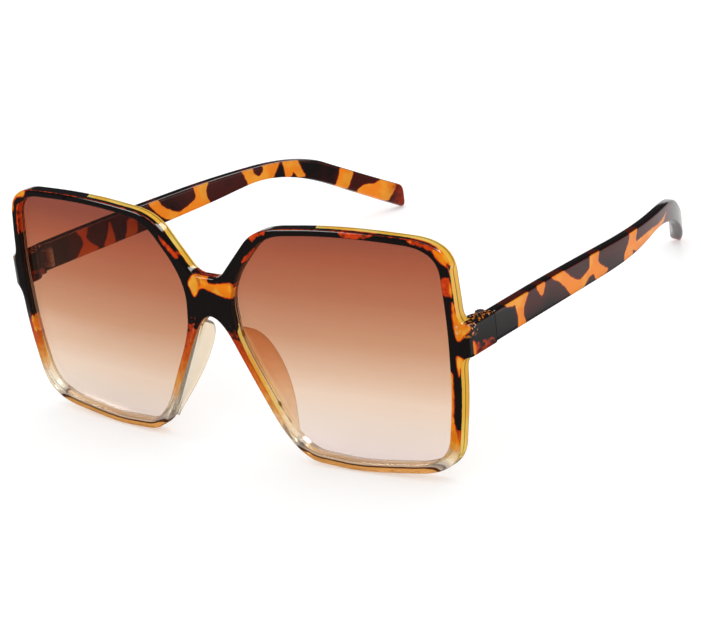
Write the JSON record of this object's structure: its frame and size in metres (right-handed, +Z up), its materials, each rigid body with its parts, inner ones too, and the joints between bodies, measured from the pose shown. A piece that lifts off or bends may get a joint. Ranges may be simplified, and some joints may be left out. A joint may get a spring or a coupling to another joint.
{
  "type": "oversized sunglasses",
  "caption": "Oversized square sunglasses with a bent moulded front and nose pads, tinted lenses held in a groove, and temples that fold on metal hinges.",
  "frame": {"origin": "on the surface that the open pair rests on, under the middle of its width and its depth", "axes": "+Z up, the front of the sunglasses faces -Y, the temples run towards +Y, and +X is the wearer's left"},
  "size_m": [0.1536, 0.144, 0.0634],
  "materials": {
    "tortoise_front": "polished transparent polycarbonate with a dark tortoise layer at the top that fades to clear champagne at the bottom",
    "tortoise_temple": "polished dark tortoise with amber patches",
    "tinted_lens": "clear gloss with a brown tint that fades towards the bottom",
    "hinge_metal": "plated nickel silver, satin",
    "screw_steel": "bright steel"
  },
  "bodies": {
    "front": {"front_frame": "tortoise_front", "lens_left": "tinted_lens", "lens_right": "tinted_lens", "hinge_front_leaf_left": "hinge_metal", "hinge_front_leaf_right": "hinge_metal", "hinge_screw_left": "screw_steel", "hinge_screw_right": "screw_steel"},
    "left_temple": {"temple_left": "tortoise_temple", "hinge_temple_leaf_left": "hinge_metal"},
    "right_temple": {"temple_right": "tortoise_temple", "hinge_temple_leaf_right": "hinge_metal"}
  },
  "joints": [
    {"name": "left_temple_fold", "type": "hinge", "parent": "front", "child": "left_temple", "pos_m": [0.0723, -0.05272, 0.03743], "axis": [0, 0.1044, 0.9945], "range_deg": [0, 82]},
    {"name": "right_temple_fold", "type": "hinge", "parent": "front", "child": "right_temple", "pos_m": [-0.0723, -0.05272, 0.03743], "axis": [0, -0.1044, -0.9945], "range_deg": [0, 78]}
  ]
}
